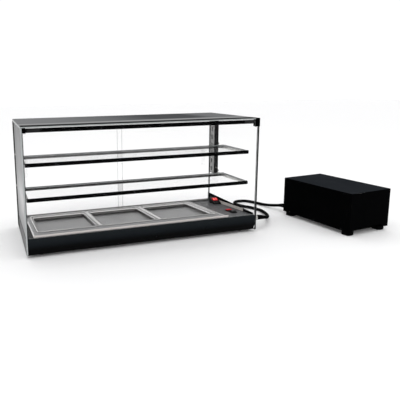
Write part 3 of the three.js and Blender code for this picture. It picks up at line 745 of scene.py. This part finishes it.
def make_tray(side, index):
    x0, u0 = TRAY_X0 + index * TRAY_PITCH, TRAY_U0
    rings = []
    for inset, height, r in TRAY_SECTION:
        flat = round_rect(x0 + inset, x0 + TRAY_W - inset, u0 + inset, u0 + TRAY_L - inset, r, height)
        rings.append([deck(*q) for q in flat])
    n = len(rings[0])
    verts, faces = loft(rings[:-1], cap=False)
    faces = [f for i, f in enumerate(faces) if i // n != FLOOR]
    last = (len(rings) - 2) * n
    faces += [(k, (k + 1) % n, last + (k + 1) % n, last + k) for k in range(n)]
    faces.append(tuple(FLOOR * n + k for k in range(n)))
    faces.append(tuple((FLOOR + 1) * n + k for k in range(n)))
    tray = mesh_piece(f"tray_{side}_pan", verts, faces, MAT["stainless"], f"tray_{side}")
    tray.data.materials.append(STEEL_HIGHLIGHT)
    tray.data.materials.append(STEEL_SHADE)
    # Painted highlight on the bead and shoulder, painted shade on the flat rim and walls
    for i, face in enumerate(tray.data.polygons):
        if i // n in BEAD or i // n in SHOULDER:
            face.material_index = 1
        elif i // n in SHADED_RINGS:
            face.material_index = 2
    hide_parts(f"tray_{side}")


for index, side in enumerate(("left", "centre", "right")):
    make_tray(side, index)

# Rolled hem down each side of the well pan, in steel with a painted highlight
HEM_W, HEM_FRONT, HEM_BACK, HEM_LOW, HEM_TOP = 6, 4.6, 412, 1.6, 4.2
for name, x in (("pan_hem_left", 30), ("pan_hem_right", 859)):
    flat = rounded_box((x, HEM_FRONT, HEM_LOW), (x + HEM_W, HEM_BACK, HEM_TOP), 1.2)
    verts, faces = loft([[deck(*q) for q in ring] for ring in flat])
    mesh_piece(name, verts, faces, STEEL_HIGHLIGHT, "case")


# ---------------------------------------------------------------- screws and clips
# A head's (radius, height), both as parts of its radius, from the rim up and down into the recess
SCREW = [(1, 0), (1, 0.22), (0.93, 0.38), (0.72, 0.5), (0.44, 0.5), (0.4, 0.18)]
SCREW_SIDES = 18
LEFT, RIGHT = Vector((-1, 0, 0)), Vector((1, 0, 0))
FRONT, BACK = Vector((0, -1, 0)), Vector((0, 1, 0))
CASE_W = 1000


def screws(name, places, axis, radius, body, material="nickel"):
    """One piece of screw heads, all facing along axis."""
    profile = [(r * radius, h * radius) for r, h in SCREW]
    verts, faces = merged(*[loft(turned(place, axis, profile, SCREW_SIDES)) for place in places])
    mesh_piece(name, verts, faces, MAT[material], body)


turn = Matrix.Rotation(UNIT_TURN, 3, "Z")
COVER_SCREW_Z = 24
for side, x, way in (("left", 0, LEFT), ("right", UNIT_W, RIGHT)):
    places = [unit(x, y, COVER_SCREW_Z) for y in (45, 200, 355)]
    screws(f"cover_screws_{side}", places, turn @ way, 3.2, "case", "black_plastic")

FAN_X, FAN_Z, GUARD_R = 155, 104, 60
GUARD_BACK = UNIT_D + 2.7
corners = [math.pi / 4 + k * math.pi / 2 for k in range(4)]
places = [unit(FAN_X + GUARD_R * math.cos(t), GUARD_BACK, FAN_Z + GUARD_R * math.sin(t)) for t in corners]
screws("fan_guard_screws", places, turn @ BACK, 3, "case")

WALL_BACK, POST_FRONT, BOLT_Y = 447, 345.6, 360
screws("rear_wall_screws", [at(x, WALL_BACK, 29) for x in (60, 350, 650, 940)], BACK, 3.4, "case")
for side, x in (("left", 19.3), ("right", 980.7)):
    screws(f"post_screws_{side}", [at(x, POST_FRONT, z) for z in (236, 474)], FRONT, 2.8, "case")
for side, x, way in (("left", 0, LEFT), ("right", CASE_W, RIGHT)):
    screws(f"glass_bolts_{side}", [at(x, BOLT_Y, z) for z in (218, 357)], way, 4.6, "case")

# Clamps that hold the front pane to its hinge: a shell in front of the glass and a plate behind it
CLAMP_W, CLAMP_LOW, CLAMP_TOP = 48, 485, 497.5
SHELL_FRONT, SHELL_BACK, PLATE_FRONT, PLATE_BACK = -1.4, 0.1, 5.4, 6.6
CLAMP_SCREW_Z = 491.2
for side, x in (("left", 24), ("right", 928)):
    shell = rounded_box((x, SHELL_FRONT, CLAMP_LOW), (x + CLAMP_W, SHELL_BACK, CLAMP_TOP), 0.5)
    plate = rounded_box((x, PLATE_FRONT, CLAMP_LOW), (x + CLAMP_W, PLATE_BACK, CLAMP_TOP), 0.4)
    verts, faces = merged(*[loft([[at(*q) for q in ring] for ring in rings]) for rings in (shell, plate)])
    mesh_piece(f"pane_clamp_{side}", verts, faces, MAT["black_plastic"], "front_glass")
    places = [at(x + across, SHELL_FRONT, CLAMP_SCREW_Z) for across in (9, 39)]
    screws(f"clamp_screws_{side}", places, FRONT, 2.4, "front_glass", "black_plastic")

# End caps on the shelves' front bars, each ring as (inset, distance out along the bar)
CAP_RINGS = ((0.2, 0), (0, 0.6), (0, 2.2), (1.4, 3))
BAR_FRONT, BAR_BACK, BAR_H, CAP_ROUND = 60, 74, 15, 3.2
for level, top in (("lower", 222), ("upper", 360)):
    for side, x, way in (("left", 18, -1), ("right", 986, 1)):
        rings = []
        for inset, out in CAP_RINGS:
            front, back = BAR_FRONT + inset, BAR_BACK - inset
            flat = round_rect(front, back, top - BAR_H + inset, top - inset, CAP_ROUND, 0)
            rings.append([at(x + way * out, y, z) for y, z, _ in flat])
        verts, faces = loft(rings)
        mesh_piece(f"bar_cap_{level}_{side}", verts, faces, MAT["black_plastic"], "case")


# ---------------------------------------------------------------- thermostat display
FACE_X, FACE_U, FACE_N = 952, 296, 7.3
FACE_RISE, FACE_RUN = 20, 46
FACE_TILT = math.atan2(FACE_RISE, FACE_RUN)
SEGMENTS = {"6": "acdefg", "5": "acdfg"}
DIGIT_W, DIGIT_H, STROKE = 6.4, 12.0, 1.3
BAR_GAP, BAR_LOW, BAR_TOP = 0.2, 2.02, 2.3
DIGIT_V = 26.5


def on_face(x, v, n):
    """A point on the thermostat's tilted face: v up it, n out of it."""
    c, s = math.cos(FACE_TILT), math.sin(FACE_TILT)
    return deck(FACE_X + x, FACE_U + v * c - n * s, FACE_N + v * s + n * c)


def digit(symbol, x, v):
    """A seven-segment digit as a shape: one raised bar for each segment that is lit."""
    mid, top = v + DIGIT_H / 2, v + DIGIT_H
    spots = {
        "a": (x, top - STROKE, x + DIGIT_W, top),
        "g": (x, mid - STROKE / 2, x + DIGIT_W, mid + STROKE / 2),
        "d": (x, v, x + DIGIT_W, v + STROKE),
        "c": (x + DIGIT_W - STROKE, v, x + DIGIT_W, mid),
        "e": (x, v, x + STROKE, mid),
        "f": (x, mid, x + STROKE, top),
    }
    bars = []
    for key in SEGMENTS[symbol]:
        x0, v0, x1, v1 = spots[key]
        low, high = (x0 + BAR_GAP, v0 + BAR_GAP, BAR_LOW), (x1 - BAR_GAP, v1 - BAR_GAP, BAR_TOP)
        rings = rounded_box(low, high, 0.3, 2)
        bars.append(loft([[on_face(*q) for q in ring] for ring in rings]))
    return merged(*bars)


verts, faces = merged(digit("6", 9, DIGIT_V), digit("5", 19, DIGIT_V))
mesh_piece("display_digits", verts, faces, MARK, "case")


# ---------------------------------------------------------------- fan and inlet pins
HUB_R, TIP_R, FAN_DEPTH, FAN_BACK = 21, 55, 20, UNIT_D - 31
BLADES, STATIONS, ROW = 7, 7, 6
ROOT_CHORD, CHORD_LOSS, TIP_SWEEP = 44, 12, 26
BLADE_INSET, BLADE_CAMBER, BLADE_THICK = 3, 2.2, 1.5


def blade_shape(start):
    """One blade, from the hub to the tip, its root centred on the angle start."""
    rings = []
    for i in range(STATIONS):
        t = i / (STATIONS - 1)
        r = HUB_R - 1 + (TIP_R - HUB_R + 1) * t
        chord = math.radians(ROOT_CHORD - CHORD_LOSS * t)
        sweep = math.radians(TIP_SWEEP) * t * t
        front, rear = [], []
        for k in range(ROW):
            f = k / (ROW - 1)
            angle = start + sweep + chord * (f - 0.5)
            lift = BLADE_INSET + (FAN_DEPTH - 2 * BLADE_INSET) * f + BLADE_CAMBER * math.sin(math.pi * f)
            x, z = FAN_X + r * math.cos(angle), FAN_Z + r * math.sin(angle)
            front.append(unit(x, FAN_BACK + lift, z))
            rear.append(unit(x, FAN_BACK + lift + BLADE_THICK, z))
        rings.append(front + rear[::-1])
    return loft(rings)


def make_fan():
    """Hub with seven swept, twisted blades."""
    hub = [(HUB_R - 6, 0), (HUB_R, 1.5), (HUB_R, FAN_DEPTH),
           (HUB_R - 2, FAN_DEPTH + 1.6), (HUB_R - 9, FAN_DEPTH + 2)]
    shapes = [loft(turned(unit(FAN_X, FAN_BACK, FAN_Z), turn @ BACK, hub, 32))]
    for blade in range(BLADES):
        shapes.append(blade_shape(2 * math.pi * blade / BLADES))
    verts, faces = merged(*shapes)
    fan = mesh_piece("fan_blades", verts, faces, MAT["black_plastic"], "fan", 50)
    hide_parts("unit_fan_rotor")


make_fan()

PIN_HALF_W, PIN_HALF_H, PIN_FRONT, PIN_BACK = 1, 2.5, UNIT_D - 15, UNIT_D - 2
pins = []
for x, z in ((37, 147.5), (43, 150.2), (49, 147.5)):
    low, high = (x - PIN_HALF_W, PIN_FRONT, z - PIN_HALF_H), (x + PIN_HALF_W, PIN_BACK, z + PIN_HALF_H)
    rings = rounded_box(low, high, 0.5, 2)
    pins.append(loft([[unit(*q) for q in ring] for ring in rings]))
verts, faces = merged(*pins)
mesh_piece("inlet_pins", verts, faces, MAT["nickel"], "case")


# ---------------------------------------------------------------- stage
FLOOR_HALF = 14
# What the world gives at the horizon and overhead, and what the camera sees of it
SIDE_LIGHT, SKY_LIGHT, BACKDROP = 0.84, 1.1, 1.05


def make_stage():
    """A pale floor under the object."""
    bm = bmesh.new()
    corners = ((-1, -1), (1, -1), (1, 1), (-1, 1))
    verts = [bm.verts.new((x * FLOOR_HALF, y * FLOOR_HALF, 0)) for x, y in corners]
    bm.faces.new(verts)
    mesh = bpy.data.meshes.new("floor")
    bm.to_mesh(mesh)
    bm.free()
    s = Shade("pale_floor", (0.93, 0.93, 0.935), 0.6, Emission_Color=(1, 1, 1, 1), Emission_Strength=0.03,
              Specular_IOR_Level=0.05)
    floor = bpy.data.objects.new("floor", mesh)
    bpy.context.scene.collection.objects.link(floor)
    paint(floor, s.mat)


def area_light(name, place, target, width, height, power):
    data = bpy.data.lights.new(name, "AREA")
    data.shape = "RECTANGLE"
    data.size, data.size_y = width, height
    data.energy = power
    light = bpy.data.objects.new(name, data)
    bpy.context.scene.collection.objects.link(light)
    light.location = place
    light.rotation_euler = (Vector(target) - Vector(place)).to_track_quat("-Z", "Y").to_euler()


def make_world():
    """White behind the object; for the light it gives, brighter overhead than at the sides."""
    world = bpy.data.worlds.new("studio")
    world.use_nodes = True
    tree = world.node_tree
    background = tree.nodes["Background"]
    background.inputs["Color"].default_value = (1, 1, 1, 1)
    coords = tree.nodes.new("ShaderNodeTexCoord")
    split = tree.nodes.new("ShaderNodeSeparateXYZ")
    tree.links.new(coords.outputs["Generated"], split.inputs[0])
    height = tree.nodes.new("ShaderNodeMapRange")
    for key, value in (("From Min", -0.1), ("From Max", 0.9), ("To Min", SIDE_LIGHT), ("To Max", SKY_LIGHT)):
        height.inputs[key].default_value = value
    tree.links.new(split.outputs["Z"], height.inputs["Value"])
    path = tree.nodes.new("ShaderNodeLightPath")
    strength = tree.nodes.new("ShaderNodeMix")
    tree.links.new(path.outputs["Is Camera Ray"], strength.inputs["Factor"])
    tree.links.new(height.outputs["Result"], strength.inputs["A"])
    strength.inputs["B"].default_value = BACKDROP
    tree.links.new(strength.outputs["Result"], background.inputs["Strength"])
    bpy.context.scene.world = world


make_stage()
make_world()
area_light("key", (-1.2, -1.6, 3.2), (0, 0, 0.1), width=2.6, height=2.6, power=14)
area_light("overhead", (0.3, 0.4, 3.0), (0.1, 0, 0), width=3.5, height=3.0, power=10)
bpy.context.scene.view_settings.view_transform = "Standard"

bpy.context.view_layer.update()
